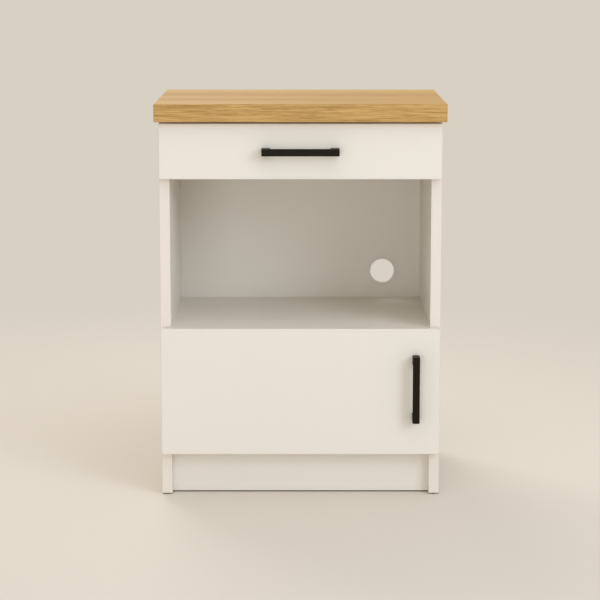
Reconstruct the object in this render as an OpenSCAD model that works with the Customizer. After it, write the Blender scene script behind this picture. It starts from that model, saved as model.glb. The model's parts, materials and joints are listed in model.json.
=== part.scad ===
// Free-standing microwave cabinet: one drawer, an open bay for the oven, a cupboard with one door,
// a plinth set back between the sides, and a worktop.
// Origin: middle of the outline on the floor. +X is to the right, +Y to the wall, +Z up. Millimetres.

/* [Carcass] */
// Width over the two sides
carcass_w = 600; // [560:1:640]
// Depth of the sides, front edge to rear edge
carcass_d = 412; // [404:1:450]
// Thickness of the two sides
side_t = 22; // [20:1:25]
// Thickness of the base, the bay shelf and the bay top
shelf_t = 22; // [20:1:25]
// Thickness of the two rails under the worktop
rail_t = 18; // [16:1:19]
// Depth of each rail, front to back
rail_d = 90; // [85:1:110]
// Thickness of the back panel
back_t = 8; // [5:1:10]
// Distance from the back panel to the rear edges of the sides
back_inset = 9; // [6:1:14]
// Depth of the groove that holds the back panel
back_groove = 8; // [5:1:9]
// Radius on the banded edges of the boards
edge_r = 1; // [0.5:0.1:1.2]

/* [Heights] */
// Floor to the underside of the base
plinth_h = 92; // [86:1:120]
// Floor to the top of the bay shelf
bay_floor_h = 368; // [355:1:400]
// Clear height of the bay
bay_h = 324; // [300:1:340]
// Clear height of the drawer compartment, under the rails
drawer_space_h = 80; // [78:1:100]
// Height of the plastic glides under the sides
glide_h = 3; // [2:0.5:5]
// Diameter of the glides
glide_d = 18; // [14:1:19]

/* [Worktop] */
// Thickness of the worktop
worktop_t = 38; // [36:1:45]
// Overhang of the worktop over each side
worktop_side = 8; // [0:1:20]
// Overhang of the worktop past the front edges of the sides
worktop_front = 38; // [26:1:48]
// Radius on the worktop's edges
worktop_r = 1.5; // [0.5:0.1:3]

/* [Plinth] */
// Distance from the front edges of the sides to the plinth board
plinth_setback = 20; // [10:1:40]
// Thickness of the plinth board
plinth_t = 16; // [15:1:19]

/* [Fronts] */
// Thickness of the drawer front and the door
front_t = 18; // [17:1:19]
// Gap between a closed front and the carcass
front_gap = 3; // [3:0.1:3.4]
// Reveal of a front at each side of the carcass
front_reveal = 1; // [0.5:0.1:1.5]
// Gap between the drawer front and the worktop
front_top_gap = 4; // [2:0.5:6]
// Overlap of the door over the base's front edge
door_overlap = 20; // [14:1:20]
// Distance that the drawer front hangs below the ceiling of the bay
drawer_front_drop = 2; // [0:0.5:4]
// Height of the door's top edge over the bay shelf
door_rise = 1; // [0:0.5:2]

/* [Handles] */
// Length of the drawer handle
drawer_pull_l = 164; // [120:1:240]
// Length of the door handle
door_pull_l = 144; // [100:1:180]
// Width of a handle's bar, as seen from the front
pull_w = 15; // [10:1:18]
// Thickness of a handle's bar
pull_t = 8; // [6:1:10]
// Distance that a handle stands out from its front
pull_out = 30; // [24:1:40]
// Length of each of a handle's two feet
pull_foot = 18; // [12:1:24]
// Radius inside a handle's corners, between its bar and its feet
pull_fillet = 5; // [1:0.5:8]
// Radius on a handle's edges
pull_r = 1; // [0.4:0.1:2]
// Distance from the door's right-hand edge to the middle of its handle
door_pull_edge = 52; // [30:1:80]
// Distance from the door's top edge to the top of its handle
door_pull_top = 57; // [40:1:70]

/* [Drawer] */
// Thickness of the drawer box's sides, front and back
box_t = 12; // [12:1:15]
// Height of the drawer box
box_h = 64; // [60:1:66]
// Depth of the drawer box
box_d = 350; // [330:1:370]
// Thickness of the drawer bottom
box_bottom_t = 4; // [3:0.5:5]
// Height of the drawer bottom over the box's lower edge
box_bottom_rise = 8; // [7:0.5:12]
// Depth of the grooves that hold the drawer bottom
box_groove = 5; // [4:0.5:6]

/* [Runners] */
// Space between the carcass side and the drawer box, on each side
runner_space = 12.5; // [12.5:0.1:13.5]
// Thickness of the runner's steel
runner_steel = 1.2; // [1:0.1:1.3]
// Height of the carcass channel
channel_h = 26; // [25.5:0.1:27]
// Height of the channel over the bay top
channel_rise = 4; // [3:0.5:5]
// Radius of the front roller, on the carcass
front_roller_r = 9.5; // [9:0.1:9.8]
// Radius of the rear roller, on the drawer
rear_roller_r = 11; // [10.5:0.1:11.2]
// Width of the rollers
roller_w = 6.4; // [5.5:0.1:6.5]
// Radius of the rollers' axles
axle_r = 2.5; // [2:0.1:2.6]

/* [Cup hinge] */
// Diameter of the hinge cup
cup_d = 35; // [35:0.5:35.5]
// Depth of the hinge cup in the door
cup_depth = 13; // [13:0.1:13.5]
// Distance from the door's edge to the cup
cup_edge = 3; // [2.8:0.1:3.1]
// Distance from the door's edge to the hinge pin
pin_edge = 7.4; // [7.2:0.1:7.4]
// Depth of the hinge pin in the door, from its back face
pin_depth = 9.5; // [9.4:0.1:9.6]
// Radius of the hinge pin
pin_r = 1.25; // [1:0.05:1.4]
// Thickness of the hinge arm's steel
arm_t = 2; // [1.6:0.1:2.2]
// Distance from the door's top or bottom edge to each hinge
hinge_end = 60; // [55:1:75]

/* [Cable outlet] */
// Diameter of the hole in the back panel
outlet_d = 60; // [50:1:70]
// Distance from the right side's inner face to the hole's middle
outlet_edge = 88; // [60:1:180]
// Height of the hole's middle over the bay shelf
outlet_rise = 62; // [50:1:100]

/* [Fits] */
// Clearance round screws, dowels, pins and other pieces in their holes, on the radius
fit_gap = 0.1; // [0.05:0.01:0.15]
// Clearance of the hinge arm on its pin and of the rollers on their axles, on the radius
turn_gap = 0.05; // [0.03:0.01:0.08]
// Clearance of the back panel and the drawer bottom in their grooves
groove_gap = 0.3; // [0.2:0.05:0.4]
// Clearance at the blind end of a hole
end_gap = 0.5; // [0.2:0.1:1]
// Clearance between a roller and its track
roll_gap = 0.2; // [0.15:0.05:0.3]

/* [Hidden] */
$fn = 48;

board_white = [0.91, 0.88, 0.83];
oak = [0.79, 0.65, 0.44];
black = [0.10, 0.09, 0.08];
steel = [0.72, 0.72, 0.70];
runner_white = [0.93, 0.92, 0.89];
nylon = [0.96, 0.95, 0.90];
clear_grey = [0.80, 0.80, 0.78];
beech = [0.82, 0.68, 0.50];

// The origin lies midway between the front of the handles and the rear edges of the sides.
reach = front_gap + front_t + pull_out;
front_y = reach - (reach + carcass_d) / 2;

// Carcass, measured from the plane of the sides' front edges.
inner_w = carcass_w - 2 * side_t;
back_y = carcass_d - back_inset - back_t;
bay_ceiling = bay_floor_h + bay_h;
bay_top_top = bay_ceiling + shelf_t;
rail_under = bay_top_top + drawer_space_h;
side_top = rail_under + rail_t;
outlet_x = inner_w / 2 - outlet_edge;

// Fronts.
front_w = carcass_w - 2 * front_reveal;
front_back_y = -front_gap;
front_face_y = -front_gap - front_t;
door_low = plinth_h + shelf_t - door_overlap;
door_high = bay_floor_h + door_rise;
drawer_front_low = bay_ceiling - drawer_front_drop;
drawer_front_high = side_top - front_top_gap;

// Handles.
pull_pitch_inset = pull_foot / 2;
drawer_pull_z = (drawer_front_low + drawer_front_high) / 2;
door_pull_x = front_w / 2 - door_pull_edge;
door_pull_z = door_high - door_pull_top - door_pull_l / 2;
pull_screw_r = 2;
pull_screw_depth = 14;
pull_screw_head_r = 4;
pull_screw_head_t = 2;

// Cam fittings and dowels.
cam_bolt_room = 0.5;
cam_r = 7.5;
cam_setback = 34;
cam_past_bolt = 4;
cam_bolt_r = 3;
cam_neck_r = 2;
cam_head_r = 3.5;
cam_thread_r = 2.5;
cam_bolt_in_side = 11;
cam_from_edge = 50;
dowel_r = 4;
dowel_in_side = 12;
dowel_in_board = 18;
dowel_pitch = 32;
dowel_chamfer = 1;
plinth_dowel_pitch = 26;

// Drawer box and runners. A place across the runner is counted from the carcass side inwards.
box_lift = 4;
roller_end = 18;
channel_mouth = 14;
channel_screw_front = 37;
channel_screw_mid = 133;
channel_screw_rear = 27;
rail_screw_front = 25;
rail_screw_rear = 45;
rail_screw_in = 11;
rail_foot_gap = 3;
shelf_end_gap = 2;
box_w = inner_w - 2 * runner_space;
box_y = front_back_y;
channel_z = bay_top_top + channel_rise;
track_z = channel_z + runner_steel;
rear_roller_z = track_z + roll_gap + rear_roller_r;
front_roller_z = track_z + 3 * roll_gap + front_roller_r;
rail_top_z = front_roller_z + front_roller_r + roll_gap;
box_z = channel_z + box_lift;
channel_l = box_d;
channel_foot = 10.2;
channel_head = 8.5;
rail_lip_in = 3;
front_roller_y = roller_end;
rear_roller_y = box_d - roller_end;
front_roller_s = 2.6;
rear_roller_s = 3;
rail_web_s = runner_space - runner_steel;
axle_head_r = 3.6;
axle_head_t = 1;

// Cup hinge, seen from above: x from the inner face of the left side, y from the sides' front edges.
door_edge_x = front_reveal - side_t;
cup_x = door_edge_x + cup_edge + cup_d / 2;
pin_x = door_edge_x + pin_edge;
pin_y = front_back_y - pin_depth;
cup_wall = 1;
cup_flange_t = 1;
cup_screw_pitch = 48;
cup_screw_offset = 6;
barrel_r = 2.3;
nose_w = 10;
arm_leg_x = arm_t / 2 + 0.8;
arm_back_x = 9;
arm_bend_y = [6, 16];
arm_end_y = 64;
arm_w = 16;
arm_flange_t = 1.5;
arm_flange_gap = 0.5;
plate_t = 2;
plate_wing_r = 9;
plate_y = 37;
plate_screw_pitch = 32;
arm_screw_y = 52;
arm_adjust_y = 27;
arm_screw_r = 2.5;
hinge_low_z = door_low + hinge_end;
hinge_high_z = door_high - hinge_end;

// Screws and small pieces.
wood_screw_r = 2;
wood_head_r = 4;
wood_head_t = 2.4;
worktop_screw_in = 24;
back_screw_r = 1.5;
back_screw_head_r = 3;
back_screw_l = 28;
back_screw_edge = 40;
plate_screw_r = 2.5;
plate_screw_l = 13;
plate_head_r = 4.4;
plate_head_t = 1.2;
small_head_t = 1.5;
bumper_r = 4;
bumper_gap = 0.1;
bumper_edge = 11;
glide_pin_r = 1.25;
glide_pin_l = 14;
glide_edge = 30;
head_bevel = 0.8;
recess_depth = 1.2;
recess_w = 1.1;

// ---------- shapes that repeat ----------

// Rectangle with its low corner at the origin and all four corners rounded.
module round_rect(w, h, r) {
  translate([r, 0]) square([w - 2 * r, h]);
  translate([0, r]) square([w, h - 2 * r]);
  for (x = [r, w - r], y = [r, h - r]) translate([x, y]) circle(r);
}

// Rectangle with only the two corners at x = 0 rounded, for a board banded on its front edge.
module banded_rect(w, h, r) {
  translate([r, 0]) square([w - r, h]);
  translate([0, r]) square([r, h - 2 * r]);
  for (y = [r, h - r]) translate([r, y]) circle(r);
}

// Slab with its low corner at the origin and all twelve edges rounded.
module soft_slab(size, r) {
  intersection() {
    linear_extrude(size[2]) round_rect(size[0], size[1], r);
    rotate([90, 0, 90]) linear_extrude(size[0]) round_rect(size[1], size[2], r);
    translate([0, size[1], 0]) rotate([90, 0, 0]) linear_extrude(size[1])
      round_rect(size[0], size[2], r);
  }
}

// Rod along +X, +Y or +Z from a point.
module rod_x(r, l) { rotate([0, 90, 0]) cylinder(r = r, h = l); }
module rod_y(r, l) { rotate([-90, 0, 0]) cylinder(r = r, h = l); }
module cone_x(r1, r2, l) { rotate([0, 90, 0]) cylinder(r1 = r1, r2 = r2, h = l); }

// Cross recess of a screwdriver, cut into a face at the origin that looks along -Z.
module cross_recess(span) {
  for (a = [0, 90]) rotate([0, 0, a]) translate([-span / 2, -recess_w / 2, -1])
    cube([span, recess_w, 1 + recess_depth]);
}

// Pan-head screw along +Z: the head lies below the origin, the shank above it.
module pan_screw(r, l, head_r, head_t) {
  difference() {
    union() {
      cylinder(r = r, h = l);
      translate([0, 0, -head_t]) cylinder(r1 = head_r - head_bevel, r2 = head_r, h = head_bevel);
      translate([0, 0, head_bevel - head_t]) cylinder(r = head_r, h = head_t - head_bevel);
    }
    translate([0, 0, -head_t]) cross_recess(head_r);
  }
}

// Countersunk screw along +Z with its head flush at the origin.
module sunk_screw(r, l, head_r) {
  difference() {
    union() {
      cylinder(r = r, h = l);
      cylinder(r1 = head_r, r2 = r, h = head_r - r);
    }
    cross_recess(head_r);
  }
}

module sunk_hole(r, l, head_r) {
  cylinder(r = r + fit_gap, h = l + end_gap);
  cylinder(r1 = head_r + fit_gap, r2 = r + fit_gap, h = head_r - r);
}

// Strip of even width along a path, with round corners.
module strip(path, w) {
  for (i = [0:len(path) - 2]) {
    step = path[i + 1] - path[i];
    translate(path[i]) rotate(atan2(step[1], step[0])) translate([0, -w / 2]) square([norm(step), w]);
  }
  for (p = path) translate(p) circle(w / 2);
}

// Everything is drawn from the plane of the sides' front edges, then set on the origin.
module placed() { translate([0, front_y, 0]) children(); }

// Both ends of the boards that lie between the sides: x counts from the inner face of the side inwards.
module both_sides() {
  translate([-inner_w / 2, 0, 0]) children();
  mirror([1, 0, 0]) translate([-inner_w / 2, 0, 0]) children();
}

// ---------- where the fittings lie ----------

// A row of fittings at one board's end: [height of the middle, cam places, dowel places, board thickness].
function board_row(z, y0, d, t) =
  [z, [y0 + cam_from_edge, y0 + d - cam_from_edge],
   [y0 + cam_from_edge + dowel_pitch, y0 + d - cam_from_edge - dowel_pitch], t];
function rail_row(y0) =
  [rail_under + rail_t / 2, [y0 + rail_d / 2],
   [y0 + rail_d / 2 - dowel_pitch, y0 + rail_d / 2 + dowel_pitch], rail_t];

base_row = board_row(plinth_h + shelf_t / 2, 0, back_y, shelf_t);
shelf_row = board_row(bay_floor_h - shelf_t / 2, 0, back_y, shelf_t);
top_row = board_row(bay_ceiling + shelf_t / 2, 0, back_y, shelf_t);
front_rail_row = rail_row(0);
rear_rail_row = rail_row(back_y - rail_d);
flat_rows = [base_row, shelf_row, top_row, front_rail_row, rear_rail_row];

plinth_mid_y = plinth_setback + plinth_t / 2;
plinth_mid_z = (glide_h + plinth_h) / 2;

// Cam points and dowel points on the inner face of a side, as [y, z].
cam_points = concat([for (row = flat_rows) for (y = row[1]) [y, row[0]]], [[plinth_mid_y, plinth_mid_z]]);
dowel_points = concat(
  [for (row = flat_rows) for (y = row[2]) [y, row[0]]],
  [for (s = [-1, 1]) [plinth_mid_y, plinth_mid_z + s * plinth_dowel_pitch]]
);

hinge_heights = [hinge_low_z, hinge_high_z];
plate_screw_heights = [for (z = hinge_heights) for (s = [-1, 1]) z + s * plate_screw_pitch / 2];
channel_screw_ys = [channel_screw_front, channel_screw_mid, channel_l - channel_screw_rear];
channel_screw_z = channel_z + channel_h / 2;
glide_ys = [glide_edge, carcass_d - glide_edge];
rail_screw_xs = [-inner_w / 4, inner_w / 4];
back_screw_xs = [-inner_w / 2 + back_screw_edge, 0, inner_w / 2 - back_screw_edge];
back_screw_zs = [base_row[0], shelf_row[0], top_row[0], rear_rail_row[0]];

// Holes in a board's end for one row of flat-lying fittings, with the cam pockets in its underside.
module flat_row_holes(row) {
  for (y = row[1]) {
    translate([-1, y, row[0]]) rod_x(cam_bolt_r + cam_bolt_room, cam_setback + 1);
    translate([cam_setback, y, row[0] - row[3] / 2 - 1])
      cylinder(r = cam_r + fit_gap, h = 1 + row[3] / 2 + cam_past_bolt);
  }
  for (y = row[2]) translate([-1, y, row[0]]) rod_x(dowel_r + fit_gap, dowel_in_board + end_gap + 1);
}

// ---------- carcass ----------

// The left side, with its outer face at x = -side_t and its inner face at x = 0.
module side_board() {
  difference() {
    translate([0, 0, glide_h]) linear_extrude(side_top - glide_h)
      rotate(90) banded_rect(carcass_d, side_t, edge_r);
    translate([-back_groove, back_y - groove_gap / 2, plinth_h - groove_gap])
      cube([back_groove + 1, back_t + groove_gap, side_top - plinth_h + groove_gap + 1]);
    for (p = cam_points) translate([-cam_bolt_in_side - end_gap, p[0], p[1]])
      rod_x(cam_thread_r + fit_gap, cam_bolt_in_side + 2);
    for (p = dowel_points) translate([-dowel_in_side - end_gap, p[0], p[1]])
      rod_x(dowel_r + fit_gap, dowel_in_side + 2);
    for (y = channel_screw_ys) translate([-plate_screw_l - end_gap, y, channel_screw_z])
      rod_x(wood_screw_r + fit_gap, plate_screw_l + 2);
    for (y = glide_ys) translate([-side_t / 2, y, glide_h - 1])
      cylinder(r = glide_pin_r + fit_gap, h = glide_pin_l + end_gap + 1);
  }
}

module side_left() {
  color(board_white) placed() difference() {
    translate([-inner_w / 2, 0, 0]) side_board();
    for (z = plate_screw_heights) translate([-inner_w / 2 - plate_screw_l - end_gap, plate_y, z])
      rod_x(plate_screw_r + fit_gap, plate_screw_l + 2);
  }
}

module side_right() {
  color(board_white) placed() mirror([1, 0, 0]) translate([-inner_w / 2, 0, 0]) side_board();
}

// A board between the sides, banded on its front edge.
module flat_board(row, y0, d) {
  difference() {
    translate([-inner_w / 2, y0, row[0] - row[3] / 2])
      rotate([90, 0, 90]) linear_extrude(inner_w) banded_rect(d, row[3], edge_r);
    both_sides() flat_row_holes(row);
  }
}

// Pilot holes for the back panel's screws, in the rear edge of a board at height z.
module back_pilots(z) {
  for (x = back_screw_xs) translate([x, back_y + back_t, z]) mirror([0, 1, 0])
    rod_y(back_screw_r + fit_gap, back_screw_l + end_gap);
}

module base_panel() {
  color(board_white) placed() difference() {
    flat_board(base_row, 0, back_y);
    back_pilots(base_row[0]);
  }
}

module bay_shelf() {
  color(board_white) placed() difference() {
    flat_board(shelf_row, 0, back_y);
    back_pilots(shelf_row[0]);
  }
}

module bay_top() {
  color(board_white) placed() difference() {
    flat_board(top_row, 0, back_y);
    back_pilots(top_row[0]);
  }
}

module rail_board(row, y0) {
  difference() {
    flat_board(row, y0, rail_d);
    for (x = rail_screw_xs) translate([x, y0 + rail_d / 2, rail_under - 1])
      cylinder(r = wood_screw_r + fit_gap, h = rail_t + 2);
  }
}

module front_rail() { color(board_white) placed() rail_board(front_rail_row, 0); }

module rear_rail() {
  color(board_white) placed() difference() {
    rail_board(rear_rail_row, back_y - rail_d);
    back_pilots(rear_rail_row[0]);
  }
}

module back_panel() {
  color(board_white) placed() difference() {
    translate([-inner_w / 2 - back_groove + groove_gap, back_y, plinth_h])
      cube([inner_w + 2 * (back_groove - groove_gap), back_t, side_top - plinth_h]);
    translate([outlet_x, back_y - 1, bay_floor_h + outlet_rise]) rod_y(outlet_d / 2, back_t + 2);
    for (x = back_screw_xs, z = back_screw_zs) translate([x, back_y + back_t, z]) rotate([90, 0, 0])
      sunk_hole(back_screw_r, back_screw_l, back_screw_head_r);
  }
}

module plinth_board() {
  color(board_white) placed() difference() {
    translate([-inner_w / 2, plinth_setback, glide_h]) rotate([90, 0, 90]) linear_extrude(inner_w)
      banded_rect(plinth_t, plinth_h - glide_h, edge_r);
    both_sides() {
      translate([-1, plinth_mid_y, plinth_mid_z]) rod_x(cam_bolt_r + cam_bolt_room, cam_setback + 1);
      translate([cam_setback, plinth_mid_y - cam_past_bolt, plinth_mid_z])
        rod_y(cam_r + fit_gap, cam_past_bolt + plinth_t / 2 + 1);
      for (s = [-1, 1]) translate([-1, plinth_mid_y, plinth_mid_z + s * plinth_dowel_pitch])
        rod_x(dowel_r + fit_gap, dowel_in_board + end_gap + 1);
    }
  }
}

module worktop() {
  color(oak) placed() difference() {
    translate([-carcass_w / 2 - worktop_side, -worktop_front, side_top])
      soft_slab([carcass_w + 2 * worktop_side, worktop_front + carcass_d, worktop_t], worktop_r);
    for (x = rail_screw_xs, y = [rail_d / 2, back_y - rail_d / 2]) translate([x, y, side_top - 1])
      cylinder(r = wood_screw_r + fit_gap, h = worktop_screw_in + end_gap + 1);
  }
}

module floor_glides() {
  color(clear_grey) placed() both_sides() for (y = glide_ys) translate([-side_t / 2, y, 0]) {
    cylinder(r1 = glide_d / 2 - 1, r2 = glide_d / 2, h = 1);
    translate([0, 0, 1]) cylinder(r = glide_d / 2, h = glide_h - 1);
    translate([0, 0, glide_h]) cylinder(r = glide_pin_r, h = glide_pin_l);
  }
}

// Cam housing that opens along -Z at the board's face, with its bolt coming along -X.
module cam_housing(below) {
  difference() {
    translate([0, 0, -below]) cylinder(r = cam_r, h = below + cam_past_bolt - end_gap);
    translate([-cam_r - 1, 0, 0]) rod_x(cam_head_r + fit_gap, cam_r + 1 + cam_head_r);
    translate([0, 0, -below]) cross_recess(cam_r);
  }
}

module cam_housings() {
  color(steel) placed() both_sides() {
    for (row = flat_rows) for (y = row[1]) translate([cam_setback, y, row[0]]) cam_housing(row[3] / 2);
    translate([cam_setback, plinth_mid_y, plinth_mid_z]) rotate([90, 0, 0]) cam_housing(plinth_t / 2);
  }
}

module cam_bolts() {
  color(steel) placed() both_sides() for (p = cam_points) translate([0, p[0], p[1]]) {
    translate([-cam_bolt_in_side, 0, 0]) rod_x(cam_thread_r, cam_bolt_in_side);
    rod_x(cam_bolt_r, cam_setback - cam_r - 1);
    rod_x(cam_neck_r, cam_setback - 2);
    translate([cam_setback - 2, 0, 0]) rod_x(cam_head_r - 0.2, 4);
  }
}

// A dowel is turned down a little at each end.
module dowels() {
  color(beech) placed() both_sides() for (p = dowel_points) translate([-dowel_in_side, p[0], p[1]]) {
    cone_x(dowel_r - dowel_chamfer, dowel_r, dowel_chamfer);
    translate([dowel_chamfer, 0, 0]) rod_x(dowel_r, dowel_in_side + dowel_in_board - 2 * dowel_chamfer);
    translate([dowel_in_side + dowel_in_board - dowel_chamfer, 0, 0])
      cone_x(dowel_r, dowel_r - dowel_chamfer, dowel_chamfer);
  }
}

module worktop_screws() {
  color(steel) placed() for (x = rail_screw_xs, y = [rail_d / 2, back_y - rail_d / 2])
    translate([x, y, rail_under])
      pan_screw(wood_screw_r, rail_t + worktop_screw_in, wood_head_r, wood_head_t);
}

module back_panel_screws() {
  color(steel) placed() for (x = back_screw_xs, z = back_screw_zs)
    translate([x, back_y + back_t, z]) rotate([90, 0, 0])
      sunk_screw(back_screw_r, back_screw_l, back_screw_head_r);
}

// Moulded ring that lines the cable outlet, with a flange on each face of the back panel.
grommet_wall = 2.5;
grommet_flange = 5;
grommet_flange_t = 2;
module cable_grommet() {
  r = outlet_d / 2;
  color(board_white) placed() translate([outlet_x, back_y, bay_floor_h + outlet_rise]) rotate([-90, 0, 0])
    rotate_extrude() translate([r - grommet_wall, -grommet_flange_t]) {
      translate([0, 0.8]) square([grommet_wall - fit_gap, back_t + 2 * grommet_flange_t - 1.6]);
      translate([0.8, 0]) square([grommet_wall - fit_gap - 0.8, back_t + 2 * grommet_flange_t]);
      for (z = [0.8, back_t + 2 * grommet_flange_t - 0.8]) translate([0.8, z]) circle(0.8);
      for (z = [0, back_t + grommet_flange_t]) translate([0.8, z])
        square([grommet_wall + grommet_flange - 0.8, grommet_flange_t]);
    }
}

// ---------- cup hinges ----------

module at_hinges() { for (z = hinge_heights) translate([-inner_w / 2, 0, z]) children(); }

// Mounting plate: two wings screwed to the side and a raised block that carries the arm.
block_w = arm_w - 2 * arm_flange_t - 0.6;
block_y = [22, arm_end_y - 2];
module hinge_plates() {
  color(steel) placed() at_hinges() difference() {
    union() {
      rotate([90, 0, 90]) linear_extrude(plate_t) {
        for (s = [-1, 1]) translate([plate_y, s * plate_screw_pitch / 2]) circle(plate_wing_r);
        translate([plate_y - plate_wing_r, -plate_screw_pitch / 2])
          square([2 * plate_wing_r, plate_screw_pitch]);
        translate([block_y[0], -arm_w / 2]) square([block_y[1] - block_y[0], arm_w]);
      }
      translate([0, block_y[0], -block_w / 2])
        cube([arm_back_x - arm_t / 2, block_y[1] - block_y[0], block_w]);
    }
    for (s = [-1, 1]) translate([-1, plate_y, s * plate_screw_pitch / 2])
      rod_x(plate_screw_r + fit_gap, plate_t + 2);
    for (y = [arm_adjust_y, arm_screw_y]) translate([1, y, 0]) rod_x(arm_screw_r + fit_gap, arm_back_x);
  }
}

// Arm: a steel strip that swings round the cup's rim to the pin, and a channel over the plate.
nose_path = [[pin_x, pin_y], [arm_leg_x, pin_y], [arm_leg_x, arm_bend_y[0]], [arm_back_x, arm_bend_y[1]],
             [arm_back_x, arm_bend_y[1] + 6]];
module hinge_arms() {
  color(steel) placed() at_hinges() difference() {
    union() {
      translate([0, 0, -nose_w / 2]) linear_extrude(nose_w) {
        strip(nose_path, arm_t);
        translate([pin_x, pin_y]) circle(barrel_r);
      }
      translate([arm_back_x - arm_t / 2, arm_bend_y[1] + 2, -arm_w / 2])
        cube([arm_t, arm_end_y - arm_bend_y[1] - 2, arm_w]);
      for (z = [-arm_w / 2, arm_w / 2 - arm_flange_t]) translate([plate_t + arm_flange_gap, block_y[0], z])
        cube([arm_back_x - plate_t - arm_flange_gap, arm_end_y - block_y[0], arm_flange_t]);
    }
    translate([pin_x, pin_y, -nose_w / 2 - 1]) cylinder(r = pin_r + turn_gap, h = nose_w + 2);
    for (y = [arm_adjust_y, arm_screw_y]) translate([arm_back_x - arm_t, y, 0])
      rod_x(arm_screw_r + fit_gap, 2 * arm_t);
  }
}

module hinge_plate_screws() {
  color(steel) placed() at_hinges() for (s = [-1, 1]) translate([plate_t, plate_y, s * plate_screw_pitch / 2])
    rotate([0, -90, 0]) pan_screw(plate_screw_r, plate_t + plate_screw_l, plate_head_r, wood_head_t);
}

module hinge_arm_screws() {
  color(steel) placed() at_hinges() for (y = [arm_adjust_y, arm_screw_y])
    translate([arm_back_x + arm_t / 2, y, 0]) rotate([0, -90, 0])
      pan_screw(arm_screw_r, arm_back_x - arm_t, arm_screw_r + 1.8, wood_head_t);
}

// Cup: a drawn shell in the door's bore, with two ears for the pin and a flange with two wings.
ear_w = 3.4;
ear_back = 6;
ear_front = 2.6;
ear_top = 3;
ear_z = nose_w / 2 + 0.5;
module hinge_cups() {
  color(steel) placed() at_hinges() {
    difference() {
      union() {
        translate([cup_x, front_back_y - cup_depth, 0]) rod_y(cup_d / 2, cup_depth);
        translate([0, front_back_y + cup_flange_t, 0]) rotate([90, 0, 0]) linear_extrude(cup_flange_t) {
          translate([cup_x, 0]) circle(cup_d / 2 + 1);
          translate([cup_x + cup_screw_offset - 7, -cup_screw_pitch / 2 - 6])
            round_rect(14, cup_screw_pitch + 12, 3);
        }
      }
      difference() {
        translate([cup_x, front_back_y - cup_depth + cup_wall, 0])
          rod_y(cup_d / 2 - cup_wall, cup_depth + 1);
        for (z = [ear_z, -ear_z - ear_w]) translate([pin_x - ear_back, front_back_y - cup_depth, z])
          cube([ear_back + ear_front, cup_depth - pin_depth + ear_top, ear_w]);
      }
      translate([pin_x, pin_y, -ear_z - ear_w]) cylinder(r = pin_r, h = 2 * (ear_z + ear_w));
      for (s = [-1, 1]) translate([cup_x + cup_screw_offset, front_back_y - 1, s * cup_screw_pitch / 2])
        rod_y(wood_screw_r + fit_gap, cup_flange_t + 2);
    }
  }
}

module hinge_cup_screws() {
  color(steel) placed() at_hinges() for (s = [-1, 1])
    translate([cup_x + cup_screw_offset, front_back_y + cup_flange_t, s * cup_screw_pitch / 2])
      rotate([90, 0, 0]) pan_screw(wood_screw_r, plate_screw_l, wood_head_r, small_head_t);
}

module hinge_pins() {
  color(steel) placed() at_hinges() translate([pin_x, pin_y, -ear_z - ear_w + 0.4])
    cylinder(r = pin_r, h = 2 * (ear_z + ear_w - 0.4));
}

// ---------- door ----------

// Handle along +X with its middle at the origin of its front's face: a flat bar that runs into two feet
// in a fillet.
module pull(l) {
  translate([-l / 2, 0, -pull_w / 2]) difference() {
    translate([0, -pull_out, 0]) soft_slab([l, pull_out, pull_w], pull_r);
    translate([pull_foot, pull_t - pull_out, -1]) linear_extrude(pull_w + 2)
      round_rect(l - 2 * pull_foot, pull_out + pull_fillet, pull_fillet);
    for (x = [pull_pitch_inset, l - pull_pitch_inset]) translate([x, -pull_screw_depth - end_gap, pull_w / 2])
      rod_y(pull_screw_r + fit_gap, pull_screw_depth + 1);
  }
}

// The two screws of a handle of length l, from behind its front.
module pull_screws(l) {
  for (s = [-1, 1]) translate([s * (l / 2 - pull_pitch_inset), front_t, 0]) rotate([90, 0, 0])
    pan_screw(pull_screw_r, front_t + pull_screw_depth, pull_screw_head_r, pull_screw_head_t);
}

module pull_screw_holes(l) {
  for (s = [-1, 1]) translate([s * (l / 2 - pull_pitch_inset), -1, 0])
    rod_y(pull_screw_r + fit_gap, front_t + 2);
}

module at_door_pull() { translate([door_pull_x, front_face_y, door_pull_z]) rotate([0, 90, 0]) children(); }
module at_drawer_pull() { translate([0, front_face_y, drawer_pull_z]) children(); }

module door_panel() {
  color(board_white) placed() difference() {
    translate([-front_w / 2, front_face_y, door_low])
      soft_slab([front_w, front_t, door_high - door_low], edge_r);
    at_hinges() {
      translate([cup_x, front_back_y - cup_depth - fit_gap, 0]) rod_y(cup_d / 2 + fit_gap, cup_depth + 2);
      for (s = [-1, 1]) translate([cup_x + cup_screw_offset, front_back_y + 1, s * cup_screw_pitch / 2])
        mirror([0, 1, 0]) rod_y(wood_screw_r + fit_gap, plate_screw_l + end_gap);
    }
    at_door_pull() pull_screw_holes(door_pull_l);
  }
}

module door_handle() { color(black) placed() at_door_pull() pull(door_pull_l); }
module door_handle_screws() { color(steel) placed() at_door_pull() pull_screws(door_pull_l); }

module bumper() {
  rotate([-90, 0, 0]) {
    cylinder(r = bumper_r, h = 1);
    translate([0, 0, 1]) cylinder(r1 = bumper_r, r2 = bumper_r - 1.5, h = front_gap - 1 - bumper_gap);
  }
}

module door_bumpers() {
  color(clear_grey) placed() for (z = [door_low + bumper_edge, door_high - bumper_edge])
    translate([front_w / 2 - bumper_edge, front_back_y, z]) bumper();
}

// ---------- drawer ----------

module drawer_front() {
  color(board_white) placed() difference() {
    translate([-front_w / 2, front_face_y, drawer_front_low])
      soft_slab([front_w, front_t, drawer_front_high - drawer_front_low], edge_r);
    at_drawer_pull() pull_screw_holes(drawer_pull_l);
    for (p = front_screw_points) translate([p[0], front_back_y + 1, p[1]]) mirror([0, 1, 0])
      rod_y(back_screw_r + fit_gap, front_screw_in + end_gap + 1);
  }
}

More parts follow.
